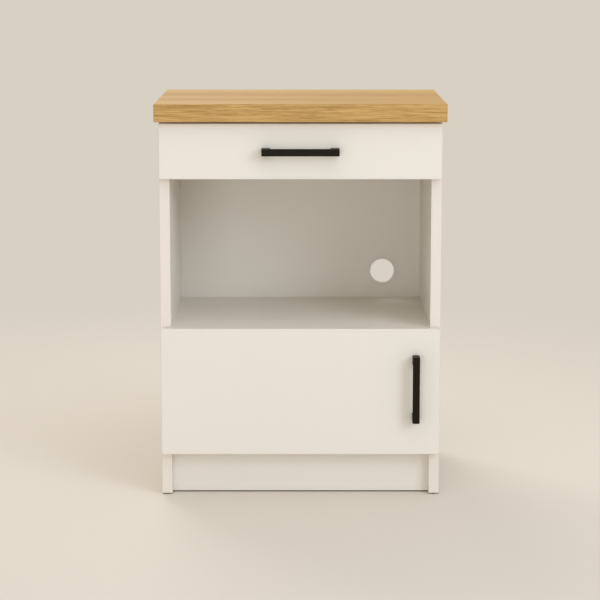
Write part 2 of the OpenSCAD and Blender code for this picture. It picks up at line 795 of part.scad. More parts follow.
module drawer_handle() { color(black) placed() at_drawer_pull() pull(drawer_pull_l); }
module drawer_handle_screws() { color(steel) placed() at_drawer_pull() pull_screws(drawer_pull_l); }

module drawer_bumpers() {
  color(clear_grey) placed() for (s = [-1, 1])
    translate([s * (front_w / 2 - bumper_edge), front_back_y, drawer_front_low + 2 * bumper_edge]) bumper();
}

// Screws that hold the drawer front to the box front, as [x, z], and those at the box's corners, as [y, z].
front_screw_in = 13;
front_screw_edge = 40;
front_screw_low = 16;
front_screw_high = 14;
front_screw_points = [for (x = [-1, 1] * (box_w / 2 - front_screw_edge),
                           z = [box_z + front_screw_low, box_z + box_h - front_screw_high]) [x, z]];
corner_screw_l = 34;
corner_screw_low = 12;
corner_screw_high = 9;
corner_screw_zs = [rail_top_z + corner_screw_low, box_z + box_h - corner_screw_high];
corner_screw_ys = [box_y + box_t / 2, box_y + box_d - box_t / 2];

module box_side() {
  difference() {
    translate([0, box_y, box_z]) linear_extrude(box_h) square([box_t, box_d]);
    translate([box_t - box_groove, box_y - 1, box_z + box_bottom_rise - groove_gap / 2])
      cube([box_groove + 1, box_d + 2, box_bottom_t + groove_gap]);
    for (y = corner_screw_ys, z = corner_screw_zs) translate([0, y, z]) rotate([0, 90, 0])
      sunk_hole(back_screw_r, box_t + 1, back_screw_head_r);
    for (y = rail_screw_ys) translate([rail_screw_x - runner_space, y, box_z - 1])
      cylinder(r = back_screw_r + fit_gap, h = rail_screw_in + end_gap + 1);
  }
}

module drawer_side_left() { color(board_white) placed() translate([-box_w / 2, 0, 0]) box_side(); }
module drawer_side_right() {
  color(board_white) placed() mirror([1, 0, 0]) translate([-box_w / 2, 0, 0]) box_side();
}

// Pilot holes for the corner screws in the two ends of a board between the drawer's sides.
module corner_pilots(y) {
  for (m = [0, 1]) mirror([m, 0, 0]) for (z = corner_screw_zs) translate([-box_w / 2, y, z])
    rod_x(back_screw_r + fit_gap, corner_screw_l + end_gap);
}

module drawer_box_front() {
  color(board_white) placed() difference() {
    translate([-box_w / 2 + box_t, box_y, box_z]) cube([box_w - 2 * box_t, box_t, box_h]);
    translate([-box_w / 2, box_y + box_t - box_groove, box_z + box_bottom_rise - groove_gap / 2])
      cube([box_w, box_groove + 1, box_bottom_t + groove_gap]);
    corner_pilots(corner_screw_ys[0]);
    for (p = front_screw_points) translate([p[0], box_y - 1, p[1]]) rod_y(back_screw_r + fit_gap, box_t + 2);
    at_drawer_pull() for (s = [-1, 1]) translate([s * (drawer_pull_l / 2 - pull_pitch_inset), front_t - 1, 0])
      rod_y(pull_screw_head_r + 1, box_t + 2);
  }
}

module drawer_back() {
  low = box_z + box_bottom_rise + box_bottom_t;
  color(board_white) placed() difference() {
    translate([-box_w / 2 + box_t, box_y + box_d - box_t, low])
      cube([box_w - 2 * box_t, box_t, box_z + box_h - low]);
    corner_pilots(corner_screw_ys[1]);
  }
}

module drawer_bottom() {
  w = box_w - 2 * box_t + 2 * (box_groove - groove_gap);
  y = box_y + box_t - box_groove + groove_gap;
  color(board_white) placed() translate([-w / 2, y, box_z + box_bottom_rise])
    cube([w, box_y + box_d - y, box_bottom_t]);
}

module drawer_front_screws() {
  color(steel) placed() for (p = front_screw_points) translate([p[0], box_y + box_t, p[1]]) rotate([90, 0, 0])
    pan_screw(back_screw_r, box_t + front_screw_in, back_screw_head_r, wood_head_t);
}

module drawer_corner_screws() {
  color(steel) placed() for (m = [0, 1]) mirror([m, 0, 0]) for (y = corner_screw_ys, z = corner_screw_zs)
    translate([-box_w / 2, y, z]) rotate([0, 90, 0])
      sunk_screw(back_screw_r, corner_screw_l, back_screw_head_r);
}

// ---------- roller runners ----------

// Carcass channel, opening inwards, with its web on the carcass side.
module runner_channel() {
  difference() {
    translate([0, 0, channel_z]) rotate([90, 0, 0]) translate([0, 0, -channel_l]) linear_extrude(channel_l) {
      square([runner_steel, channel_h]);
      square([channel_foot, runner_steel]);
      translate([0, channel_h - runner_steel]) square([channel_head, runner_steel]);
    }
    for (y = channel_screw_ys) translate([-1, y, channel_screw_z])
      rod_x(wood_screw_r + fit_gap, runner_steel + 2);
    translate([-1, front_roller_y, front_roller_z]) rod_x(axle_r, runner_steel + 2);
    translate([runner_steel, -1, channel_z + channel_h - runner_steel - 1])
      cube([channel_head, 1 + channel_mouth, runner_steel + 2]);
  }
}

module runner_channel_left() {
  color(runner_white) placed() translate([-inner_w / 2, 0, 0]) runner_channel();
}
module runner_channel_right() {
  color(runner_white) placed() mirror([1, 0, 0]) translate([-inner_w / 2, 0, 0]) runner_channel();
}

module runner_screws() {
  color(steel) placed() both_sides() for (y = channel_screw_ys) translate([runner_steel, y, channel_screw_z])
    rotate([0, -90, 0]) pan_screw(wood_screw_r, plate_screw_l, wood_head_r, plate_head_t);
}

// Roller with its axis along X, its low end at x = 0, and a counterbore for the axle's head at one end.
module roller(r, head_low) {
  difference() {
    intersection() {
      rod_x(r, roller_w);
      union() {
        cone_x(r - 0.6, r, 0.6);
        translate([0.6, 0, 0]) rod_x(r, roller_w - 1.2);
        translate([roller_w - 0.6, 0, 0]) cone_x(r, r - 0.6, 0.6);
      }
    }
    translate([-1, 0, 0]) rod_x(axle_r + turn_gap, roller_w + 2);
    translate([head_low ? -1 : roller_w - axle_head_t - turn_gap, 0, 0])
      rod_x(axle_head_r + 0.3, axle_head_t + turn_gap + 1);
  }
}

// The front axle is riveted into the channel's web, and the rear axle into the drawer rail's web.
module front_axle() {
  translate([0, front_roller_y, front_roller_z]) {
    rod_x(axle_r, front_roller_s + roller_w - axle_head_t);
    translate([front_roller_s + roller_w - axle_head_t, 0, 0]) rod_x(axle_head_r, axle_head_t);
    translate([runner_steel, 0, 0]) rod_x(axle_head_r, front_roller_s - runner_steel - turn_gap);
  }
}

module front_axles() { color(steel) placed() both_sides() front_axle(); }

module front_roller_left() {
  color(nylon) placed() translate([-inner_w / 2 + front_roller_s, front_roller_y, front_roller_z])
    roller(front_roller_r, false);
}
module front_roller_right() {
  color(nylon) placed() mirror([1, 0, 0])
    translate([-inner_w / 2 + front_roller_s, front_roller_y, front_roller_z]) roller(front_roller_r, false);
}

// Drawer rail: a web on the box side, a lip under it, and a shelf that runs on the front roller.
rail_shelf_l = rear_roller_y - rear_roller_r - shelf_end_gap - box_y;
rail_screw_ys = [box_y + rail_screw_front, box_y + box_d / 2, box_y + box_d - rail_screw_rear];
rail_screw_x = runner_space + (box_t - box_groove) / 2;
rail_foot = box_t - rail_foot_gap;
module drawer_rail() {
  difference() {
    union() {
      translate([rail_web_s, box_y, box_z - runner_steel])
        cube([runner_steel, box_d, rail_top_z + 2 * runner_steel - box_z]);
      translate([rail_web_s, box_y, box_z - runner_steel])
        cube([runner_steel + rail_foot, box_d, runner_steel]);
      translate([rail_lip_in, box_y, rail_top_z])
        cube([runner_space - rail_lip_in, rail_shelf_l, runner_steel]);
    }
    translate([rail_web_s - 1, rear_roller_y, rear_roller_z]) rod_x(axle_r, runner_steel + 2);
    for (y = rail_screw_ys) translate([rail_screw_x, y, box_z - runner_steel - 1])
      cylinder(r = back_screw_r + fit_gap, h = runner_steel + 2);
  }
}

module drawer_rail_left() { color(runner_white) placed() translate([-inner_w / 2, 0, 0]) drawer_rail(); }
module drawer_rail_right() {
  color(runner_white) placed() mirror([1, 0, 0]) translate([-inner_w / 2, 0, 0]) drawer_rail();
}

module drawer_rail_screws() {
  color(steel) placed() both_sides() for (y = rail_screw_ys)
    translate([rail_screw_x, y, box_z - runner_steel])
      pan_screw(back_screw_r, runner_steel + rail_screw_in, back_screw_head_r, small_head_t);
}

module rear_axle() {
  translate([0, rear_roller_y, rear_roller_z]) {
    translate([rear_roller_s + axle_head_t, 0, 0]) rod_x(axle_r, runner_space - rear_roller_s - axle_head_t);
    translate([rear_roller_s, 0, 0]) rod_x(axle_head_r, axle_head_t);
    translate([rear_roller_s + roller_w + turn_gap, 0, 0])
      rod_x(axle_head_r, rail_web_s - rear_roller_s - roller_w - turn_gap);
  }
}

module rear_axles() { color(steel) placed() both_sides() rear_axle(); }

module rear_roller_left() {
  color(nylon) placed() translate([-inner_w / 2 + rear_roller_s, rear_roller_y, rear_roller_z])
    roller(rear_roller_r, true);
}
module rear_roller_right() {
  color(nylon) placed() mirror([1, 0, 0])
    translate([-inner_w / 2 + rear_roller_s, rear_roller_y, rear_roller_z]) roller(rear_roller_r, true);
}

// ---------- the nodes ----------

side_left();
side_right();
base_panel();
bay_shelf();
bay_top();
front_rail();
rear_rail();
back_panel();
plinth_board();
worktop();
floor_glides();
cam_housings();
cam_bolts();
dowels();
worktop_screws();
back_panel_screws();
cable_grommet();
hinge_plates();
hinge_arms();
hinge_plate_screws();
hinge_arm_screws();
runner_channel_left();
runner_channel_right();
runner_screws();
front_axles();
front_roller_left();
front_roller_right();
drawer_front();
drawer_handle();
drawer_handle_screws();
drawer_side_left();
drawer_side_right();
drawer_box_front();
drawer_back();
drawer_bottom();
drawer_front_screws();
drawer_corner_screws();
drawer_bumpers();
drawer_rail_left();
drawer_rail_right();
drawer_rail_screws();
rear_axles();
rear_roller_left();
rear_roller_right();
door_panel();
door_handle();
door_handle_screws();
hinge_cups();
hinge_cup_screws();
hinge_pins();
door_bumpers();
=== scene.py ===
import json
import math

import bpy
import numpy as np
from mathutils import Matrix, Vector


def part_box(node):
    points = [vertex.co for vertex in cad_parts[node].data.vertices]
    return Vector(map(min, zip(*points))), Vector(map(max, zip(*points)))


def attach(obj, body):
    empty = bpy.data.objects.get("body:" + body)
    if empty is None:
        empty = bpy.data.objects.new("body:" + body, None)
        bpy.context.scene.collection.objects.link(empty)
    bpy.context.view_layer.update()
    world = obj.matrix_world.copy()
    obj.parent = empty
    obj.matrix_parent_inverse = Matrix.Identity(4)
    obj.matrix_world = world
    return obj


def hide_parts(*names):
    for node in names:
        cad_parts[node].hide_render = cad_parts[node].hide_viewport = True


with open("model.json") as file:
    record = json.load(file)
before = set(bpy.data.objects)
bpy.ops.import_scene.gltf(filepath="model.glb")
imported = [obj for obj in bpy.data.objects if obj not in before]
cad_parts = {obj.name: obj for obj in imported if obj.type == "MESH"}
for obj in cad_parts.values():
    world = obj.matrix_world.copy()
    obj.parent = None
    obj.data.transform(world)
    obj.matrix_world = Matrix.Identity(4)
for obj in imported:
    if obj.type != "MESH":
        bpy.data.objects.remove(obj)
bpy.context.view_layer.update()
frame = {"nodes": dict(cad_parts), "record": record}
print("frame loaded:", len(frame["nodes"]), "nodes")

cameraLook = {
    "place": (-0.001, -4.5, 1.17),  # metres, in front of the cabinet at chest height
    "down": 8.94,  # degrees below level
    "lens": 122.8,
    "shift": -0.048,  # raises the cabinet a little in the picture
}
lampLook = {
    "key": {"place": (3.2, -3.7, 2.45), "aim": (0, -0.1, 0.5), "size": 2.5, "power": 84,
            "tint": (0.76, 0.865, 1)},
    "fill": {"place": (-0.8, -4.1, 0.3), "aim": (0, -0.1, 0.3), "size": 1.6, "power": 26,
             "tint": (0.94, 0.975, 1)},
    "top": {"place": (0.3, -1.3, 3.2), "aim": (0, -0.1, 0.6), "size": 2.2, "power": 16,
            "tint": (0.99, 0.985, 0.955)},
    "rear": {"place": (-1.2, 2.9, 3.3), "aim": (0, 0.1, 0.5), "size": 2.4, "power": 57,
             "tint": (0.99, 0.98, 0.94)},
}
stageLook = {
    "sky": (0.66, 0.63, 0.585),  # what lights the cabinet from all round
    "backdrop": (0.69, 0.63, 0.55),  # what the camera sees instead
    "floor": (0.74, 0.685, 0.615),
    "roughness": 0.9,
    "radius": 30,
    "columns": 96,
    "fadeFrom": 0.7,  # metres from the cabinet, where the floor starts to turn into the backdrop
    "fadeTo": 2.4,
}


class Shade:
    # A value in a material's node tree. Python's operators on it add the Math nodes.
    def __init__(self, tree, socket):
        self.tree = tree
        self.socket = socket

    def make(self, kind, links=None, output=0, stops=None, **settings):
        # Any other node: its settings first, then the values or links of its sockets.
        node = self.tree.nodes.new("ShaderNode" + kind)
        for name, value in settings.items():
            setattr(node, name, value)
        if stops:
            ramp = node.color_ramp
            while len(ramp.elements) < len(stops):
                ramp.elements.new(0.5)
            for element, (place, tone) in zip(ramp.elements, stops):
                element.position = place
                element.color = (*tone, 1)
        for name, value in (links or {}).items():
            if isinstance(value, Shade):
                self.tree.links.new(value.socket, node.inputs[name])
            else:
                node.inputs[name].default_value = value
        return Shade(self.tree, node.outputs[output])

    def other(self, name):
        # Another output of the node that this value comes from.
        return Shade(self.tree, self.socket.node.outputs[name])

    def math(self, operation, *values):
        return self.make("Math", dict(enumerate(values)), operation=operation)

    def __add__(self, value):
        return self.math("ADD", self, value)

    def __sub__(self, value):
        return self.math("SUBTRACT", self, value)

    def __rsub__(self, value):
        return self.math("SUBTRACT", value, self)

    def __mul__(self, value):
        return self.math("MULTIPLY", self, value)

    def __truediv__(self, value):
        return self.math("DIVIDE", self, value)

    def __pow__(self, value):
        return self.math("POWER", self, value)

    def __abs__(self):
        return self.math("ABSOLUTE", self)

    __radd__ = __add__
    __rmul__ = __mul__

    def fraction(self):
        return self.math("FRACT", self)

    def most(self, value):
        return self.math("MAXIMUM", self, value)

    def step(self, low, high):
        # 0 below low, 1 above high, and a smooth rise between them.
        return self.make("MapRange", {0: self, 1: low, 2: high}, interpolation_type="SMOOTHSTEP")

    def blend(self, first, second):
        # The first colour where this value is 0, the second where it is 1.
        links = {0: self, 6: colour(first), 7: colour(second)}
        return self.make("Mix", links, output=2, data_type="RGBA")

    def tint(self, base, amount):
        # The colour made brighter or darker by this value, which is about 0.
        light = self * amount + 1
        grey = self.make("CombineColor", {0: light, 1: light, 2: light})
        links = {0: 1.0, 6: colour(base), 7: grey}
        return self.make("Mix", links, output=2, data_type="RGBA", blend_type="MULTIPLY")

    def ramp(self, stops):
        return self.make("ValToRGB", {0: self}, stops=stops)

    def scaled(self, sx, sy, sz):
        return self.make("VectorMath", {0: self, 1: (sx, sy, sz)}, operation="MULTIPLY")

    def moved(self, vector):
        return self.make("VectorMath", {0: self, 1: vector}, operation="ADD")

    def noise(self, scale=1.0, detail=2.0, rough=0.5, twist=0.0):
        # Noise of about -1 to 1 at this point.
        links = {"Vector": self, "Scale": scale, "Detail": detail, "Roughness": rough, "Distortion": twist}
        return self.make("TexNoise", links) * 2 - 1

    def cells(self):
        # A chance value from 0 to 1 for each cell about this point.
        return self.make("TexVoronoi", {"Vector": self, "Scale": 1.0}, output="Color").parts()[0]

    def parts(self):
        x = self.make("SeparateXYZ", {0: self})
        return x, x.other(1), x.other(2)

    def bump(self, strength, distance):
        return self.make("Bump", {"Height": self, "Strength": strength, "Distance": distance})


def colour(value):
    return value if isinstance(value, Shade) else (*value, 1)


def newMaterial(name, constants, feeds=lambda point: {}):
    # constants are for the shader's own sockets, and feeds(point) gives what varies over the surface.
    material = bpy.data.materials.new(name)
    material.use_nodes = True
    tree = material.node_tree
    shader = tree.nodes["Principled BSDF"]
    for socket, value in constants.items():
        shader.inputs[socket].default_value = value
    point = Shade(tree, tree.nodes.new("ShaderNodeTexCoord").outputs["Object"])
    for socket, value in feeds(point).items():
        tree.links.new(value.socket, shader.inputs[socket])
    return material


def dress(material, *names):
    for name in names:
        mesh = frame["nodes"][name].data
        mesh.materials.clear()
        mesh.materials.append(material)


def makeCamera(look):
    data = bpy.data.cameras.new("camera")
    data.lens = look["lens"]
    data.shift_y = look["shift"]
    camera = bpy.data.objects.new("camera", data)
    camera.location = look["place"]
    camera.rotation_euler = (math.radians(90 - look["down"]), 0, 0)
    bpy.context.scene.collection.objects.link(camera)
    bpy.context.scene.camera = camera


def makeLamp(name, look):
    data = bpy.data.lights.new(name, "AREA")
    data.shape = "DISK"
    data.size = look["size"]
    data.energy = look["power"]
    data.color = look["tint"]
    lamp = bpy.data.objects.new(name, data)
    lamp.location = look["place"]
    lamp.rotation_euler = (Vector(look["aim"]) - lamp.location).to_track_quat("-Z", "Y").to_euler()
    bpy.context.scene.collection.objects.link(lamp)


def seenRays(start):
    # 1 for rays of the camera, and for what metal and glass show.
    path = start.make("LightPath")
    return path.most(path.other("Is Glossy Ray")).most(path.other("Is Transmission Ray"))


def makeSky(look):
    world = bpy.data.worlds.new("studio")
    world.use_nodes = True
    tree = world.node_tree
    tree.nodes.clear()
    output = tree.nodes.new("ShaderNodeOutputWorld")
    start = Shade(tree, None)
    light = start.make("Background", {"Color": colour(look["sky"]), "Strength": 1.0})
    shown = start.make("Background", {"Color": colour(look["backdrop"]), "Strength": 1.0})
    mixed = start.make("MixShader", {0: seenRays(start), 1: light, 2: shown})
    tree.links.new(mixed.socket, output.inputs["Surface"])
    bpy.context.scene.world = world


def circle(columns):
    return np.linspace(0, 2 * np.pi, columns + 1)[:-1]


def makeFloor(look):
    # A wide disc that turns into the backdrop's colour away from the cabinet and is clear from below.
    turn = circle(look["columns"])
    rim = look["radius"] * np.stack([np.cos(turn), np.sin(turn), 0 * turn], -1)
    mesh = bpy.data.meshes.new("floor")
    mesh.from_pydata(rim.tolist(), [], [range(len(turn))])
    floor = bpy.data.objects.new("floor", mesh)
    bpy.context.scene.collection.objects.link(floor)
    constants = {"Base Color": colour(look["floor"]), "Roughness": look["roughness"]}
    material = newMaterial("paleFloor", constants)
    tree = material.node_tree
    point = Shade(tree, tree.nodes["Texture Coordinate"].outputs["Object"])
    away = point.make("VectorMath", {0: point}, output=1, operation="LENGTH")
    fade = away.step(look["fadeFrom"], look["fadeTo"]) * seenRays(point)
    glow = point.make("Emission", {"Color": colour(look["backdrop"]), "Strength": 1.0})
    lit = Shade(tree, tree.nodes["Principled BSDF"].outputs[0])
    above = point.make("MixShader", {0: fade, 1: lit, 2: glow})
    below = point.make("NewGeometry", output="Backfacing")
    whole = point.make("MixShader", {0: below, 1: above, 2: point.make("BsdfTransparent")})
    tree.links.new(whole.socket, tree.nodes["Material Output"].inputs["Surface"])
    mesh.materials.append(material)


bpy.context.scene.view_settings.view_transform = "Standard"
makeCamera(cameraLook)
for lampName, look in lampLook.items():
    makeLamp(lampName, look)
makeSky(stageLook)
makeFloor(stageLook)
print("camera, lamps and floor made")

# How much of a normal lies along an axis where a surface starts to face it, and where it does in full.
facing = (0.6, 0.8)

# White melamine on chipboard. A rate is the features for each metre.
boardLook = {
    "face": (0.80, 0.757, 0.688),
    "mottle": 0.012,
    "mottleRate": 3,
    "band": (0.80, 0.737, 0.667),
    "bandWide": 0.001,
    "bandFacing": (0.4, 0.7),
    "bandGloss": 0.06,  # how much less rough than the faces
    "seam": 0.0001,  # half the width of the glue line beside a band
    "seamShade": (0.50, 0.45, 0.38),
    "seamDark": 0.6,
    "seamDeep": 0.5,
    "chips": ((0.0, (0.30, 0.20, 0.11)), (0.45, (0.50, 0.36, 0.21)), (1.0, (0.72, 0.57, 0.38))),
    "chipRate": (330, 240, 520),  # along x, y and z
    "chipShare": 0.65,
    "fleckRate": (900, 700, 1400),
    "fleckShare": 0.35,
    "fleckShift": (3, 1, 7),
    "pearlRate": 900,  # of the faces' fine relief
    "pearlDeep": 0.04,
    "smearRate": 45,
    "smearRough": 0.04,
    "chipRough": 0.35,
    "roughness": 0.46,
    "relief": 0.00025,
    "bump": 0.6,
    "specular": 0.4,
}


def board(name, flat, *bands):
    # A faced chipboard panel. flat is the axis across its two faces, and each band is the axis and
    # the side of an edge that carries edging. The other edges show the chips.
    low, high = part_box(name)
    look = boardLook

    def feeds(point):
        place = point.parts()
        normal = point.other("Normal").parts()
        narrow = 1 - abs(normal[flat]).step(*facing)  # 1 on the edges
        banded = narrow * 0
        seams = narrow * 0
        for axis, side in bands:
            edge = (low if side < 0 else high)[axis]
            banded = banded.most((normal[axis] * side).step(*look["bandFacing"]))
            gap = abs(place[axis] - (edge - side * look["bandWide"]))
            seams = seams.most((1 - gap.step(look["seam"], 2 * look["seam"])) * (1 - narrow))
        raw = (narrow - banded).most(0)
        mottled = point.noise(look["mottleRate"], detail=3).tint(look["face"], look["mottle"])
        faced = banded.blend(mottled, look["band"])
        faced = (seams * look["seamDark"]).blend(faced, look["seamShade"])
        chip = point.scaled(*look["chipRate"]).cells()
        fleck = point.moved(look["fleckShift"]).scaled(*look["fleckRate"]).cells()
        bare = (chip * look["chipShare"] + fleck * look["fleckShare"]).ramp(look["chips"])
        pearl = point.noise(look["pearlRate"]) * look["pearlDeep"]
        height = pearl - seams * look["seamDeep"] + raw * (chip + fleck)
        smear = point.noise(look["smearRate"], detail=3) * look["smearRough"] - banded * look["bandGloss"]
        return {
            "Base Color": raw.blend(faced, bare),
            "Roughness": smear + raw * look["chipRough"] + look["roughness"],
            "Normal": height.bump(look["bump"], look["relief"]),
        }

    dress(newMaterial(name + "Board", {"Specular IOR Level": look["specular"]}, feeds), name)


front = (1, -1)  # the axis and the side of an edge
left, right = (0, -1), (0, 1)
under, top = (2, -1), (2, 1)
for name in ("side_left", "side_right"):
    board(name, 0, front)
for name in ("base_panel", "bay_shelf", "bay_top", "front_rail", "rear_rail"):
    board(name, 2, front)
board("back_panel", 1)
board("plinth_board", 1, under)
for name in ("drawer_front", "door_panel"):
    board(name, 1, left, right, top, under)
for name in ("drawer_side_left", "drawer_side_right"):
    board(name, 0, top)
for name in ("drawer_box_front", "drawer_back"):
    board(name, 1, top)
board("drawer_bottom", 2)
print("boards dressed")

# Oak laminate. Its grain is made of layers. A layer's rate is its features for each metre along and
# across the grain, its shift keeps it from lying like the others, and onTop is how much more it
# weighs on the upper and lower face than on the edging.
oakLook = {
    "light": (0.65, 0.41, 0.155),
    "dark": (0.32, 0.172, 0.048),
    "middle": 0.55,  # the tone between dark, 0, and light, 1
    # Painted light: the upper and lower faces are made paler than the edging, as if lit from above.
    "paintedFaceLight": 0.12,
    "broad": {"rate": (0.7, 15), "shift": (0, 0, 0.13), "detail": 3, "weight": 0.3, "onTop": 0.2},
    "streak": {"rate": (10, 400), "shift": (7, 3, 1), "detail": 3, "rough": 0.55, "twist": 0.15,
               "weight": 0.72, "onTop": -0.32},
    "fibre": {"rate": (45, 900), "shift": (2, 9, 4), "rough": 0.6, "weight": 0.42, "onTop": -0.12},
    "vessel": {"rate": (90, 2600), "shift": (1, 5, 2)},
    "pore": (0.24, 0.128, 0.040),
    "poreLimits": (0.35, 0.75),  # where the vessels' noise starts to show, and where it shows in full
    "poreDark": 0.45,
    "poresPlain": 0.6,  # their share outside the porous part of a ring
    "poresInRing": 0.8,  # and what that part adds
    "ringWide": 0.0042,
    "ringPorous": 0.45,  # the share of a ring's width
    "ringDark": 0.24,
    "wander": {"rate": (1.6, 9), "shift": (0, 0, 0), "far": 0.012},  # metres, sideways
    "waver": {"rate": (4, 60), "shift": (5, 0, 0), "far": 1.1},  # rings, outwards
    "heart": (0.05, 0.832),  # y and z of the tree's heart where x is 0
    "lean": 0.075,  # how much the heart drops for each metre along the board
    "roughness": 0.52,
    "poreRough": 0.12,
    "streakRough": 0.04,
    "relief": 0.00012,
    "streakDeep": 0.2,
    "bump": 0.35,
    "specular": 0.14,
}


def grainNoise(point, layer):
    # Noise that is drawn out along the grain.
    along, across = layer["rate"]
    drawn = point.moved(layer["shift"]).scaled(along, across, across)
    return drawn.noise(1.0, layer.get("detail", 2.0), layer.get("rough", 0.5), layer.get("twist", 0.0))


def growthRings(point, look):
    # 1 on the porous start of each year's ring: rings lie round a heart that leans to the board, so
    # they cut its face in long arches.
    wander = grainNoise(point, look["wander"]) * look["wander"]["far"]
    x, y, z = point.parts()
    depth = z - look["heart"][1] + x * look["lean"]
    aside = y - look["heart"][0] + wander
    away = (aside * aside + depth * depth) ** 0.5
    waver = grainNoise(point, look["waver"]) * look["waver"]["far"]
    return 1 - (away / look["ringWide"] + waver).fraction().step(0.0, look["ringPorous"])


def oak(point):
    # The edging on the ends runs along y, so there the two axes change places.
    look = oakLook
    x, y, z = point.parts()
    normal = point.other("Normal").parts()
    end = abs(normal[0]).step(*facing)
    face = abs(normal[2]).step(*facing)
    swapped = point.make("CombineXYZ", {0: y, 1: x, 2: z})
    point = point.make("Mix", {0: end, 4: point, 5: swapped}, output=1, data_type="VECTOR")

    def weighted(layer):
        return grainNoise(point, layer) * (face * layer["onTop"] + layer["weight"])

    rings = growthRings(point, look) * face
    broad = weighted(look["broad"])
    streak = weighted(look["streak"])
    fibre = weighted(look["fibre"])
    pores = grainNoise(point, look["vessel"]).step(*look["poreLimits"])
    pores = pores * (rings * look["poresInRing"] + look["poresPlain"])
    # The last term is painted light: it lightens the upper and lower faces as if lit from above.
    tone = broad + streak + fibre - rings * look["ringDark"] + face * look["paintedFaceLight"]
    wood = (tone + look["middle"]).step(0.0, 1.0).blend(look["dark"], look["light"])
    return {
        "Base Color": (pores * look["poreDark"]).blend(wood, look["pore"]),
        "Roughness": pores * look["poreRough"] + streak * look["streakRough"] + look["roughness"],
        "Normal": (fibre + streak * look["streakDeep"] - pores).bump(look["bump"], look["relief"]),
    }


dress(newMaterial("oakLaminate", {"Specular IOR Level": oakLook["specular"]}, oak), "worktop")
print("worktop dressed")

# Fittings. cast and spread are how much the colour and the roughness vary, and grain is the features
# of the relief for each metre.
pullLook = {"colour": (0.010, 0.0065, 0.003), "cast": 0.08, "castRate": 40, "roughness": 0.5, "spread": 0.06,
            "grain": 1800, "relief": 0.00008, "bump": 0.4, "specular": 0.12}
metalLook = {
    "nickel": {"colour": (0.62, 0.62, 0.60), "roughness": 0.27, "cast": 0.04,
               "nodes": ("hinge_plates", "hinge_arms", "hinge_cups", "hinge_pins")},
    "zinc": {"colour": (0.55, 0.55, 0.54), "roughness": 0.40, "cast": 0.10, "nodes": ("cam_housings",)},
    "steel": {"colour": (0.66, 0.66, 0.63), "roughness": 0.30, "cast": 0.06,
              "nodes": ("front_axles", "rear_axles")},
}
metalGrain = {"cloudRate": 90, "cloudRough": 0.06, "scratchRate": (60, 2500, 1900), "scratchRough": 0.08,
              "relief": 0.00004, "bump": 0.1}
plasticLook = {
    "epoxyCoat": {"colour": (0.82, 0.80, 0.75), "roughness": 0.34, "grain": 500, "relief": 0.00006,
                  "nodes": ("runner_channel_left", "runner_channel_right", "drawer_rail_left",
                            "drawer_rail_right")},
    "nylon": {"colour": (0.86, 0.84, 0.76), "roughness": 0.42, "grain": 1500, "relief": 0.00003,
              "nodes": ("front_roller_left", "front_roller_right", "rear_roller_left", "rear_roller_right")},
    "outletPlastic": {"colour": (0.78, 0.74, 0.67), "roughness": 0.5, "grain": 2200, "relief": 0.00004,
                      "nodes": ("cable_grommet",)},
    "softPad": {"colour": (0.70, 0.70, 0.68), "roughness": 0.30, "grain": 700, "relief": 0.00002,
                "nodes": ("drawer_bumpers", "door_bumpers")},
    "glidePlastic": {"colour": (0.60, 0.59, 0.56), "roughness": 0.55, "grain": 1200, "relief": 0.00004,
                     "nodes": ("floor_glides",)},
}
plasticGrain = {"cast": 0.03, "castRate": 30, "spread": 0.05, "bump": 0.5}
beechLook = {"pale": (0.66, 0.46, 0.27), "fleck": (0.50, 0.31, 0.16), "fleckRate": (120, 900, 900),
             "fleckLimits": (0.1, 0.5), "fleckRough": 0.1, "roughness": 0.6, "relief": 0.0001, "bump": 0.3}


def powderCoat(point):
    look = pullLook
    grain = point.noise(look["grain"])
    return {
        "Base Color": point.noise(look["castRate"]).tint(look["colour"], look["cast"]),
        "Roughness": grain * look["spread"] + look["roughness"],
        "Normal": grain.bump(look["bump"], look["relief"]),
    }


def metal(look):
    def feeds(point):
        cloud = point.noise(metalGrain["cloudRate"], detail=3)
        scratch = point.scaled(*metalGrain["scratchRate"]).noise()
        rough = cloud * metalGrain["cloudRough"] + scratch * metalGrain["scratchRough"]
        return {
            "Base Color": cloud.tint(look["colour"], look["cast"]),
            "Roughness": rough + look["roughness"],
            "Normal": (cloud + scratch).bump(metalGrain["bump"], metalGrain["relief"]),
        }
    return feeds


def plastic(look):
    def feeds(point):
        grain = point.noise(look["grain"])
        cloud = point.noise(plasticGrain["castRate"], detail=3)
        return {
            "Base Color": cloud.tint(look["colour"], plasticGrain["cast"]),
            "Roughness": grain * plasticGrain["spread"] + look["roughness"],
            "Normal": grain.bump(plasticGrain["bump"], look["relief"]),
        }
    return feeds


def beech(point):
    # Its grain runs along x, as the dowels do.
    look = beechLook
    fleck = point.scaled(*look["fleckRate"]).noise().step(*look["fleckLimits"])
    return {
        "Base Color": fleck.blend(look["pale"], look["fleck"]),
        "Roughness": fleck * look["fleckRough"] + look["roughness"],
        "Normal": fleck.bump(look["bump"], look["relief"]),
    }


blackCoat = newMaterial("blackCoat", {"Specular IOR Level": pullLook["specular"]}, powderCoat)
dress(blackCoat, "door_handle", "drawer_handle")
for name, look in metalLook.items():
    dress(newMaterial(name, {"Metallic": 1.0}, metal(look)), *look["nodes"])
for name, look in plasticLook.items():
    dress(newMaterial(name, {}, plastic(look)), *look["nodes"])
print("fittings dressed")

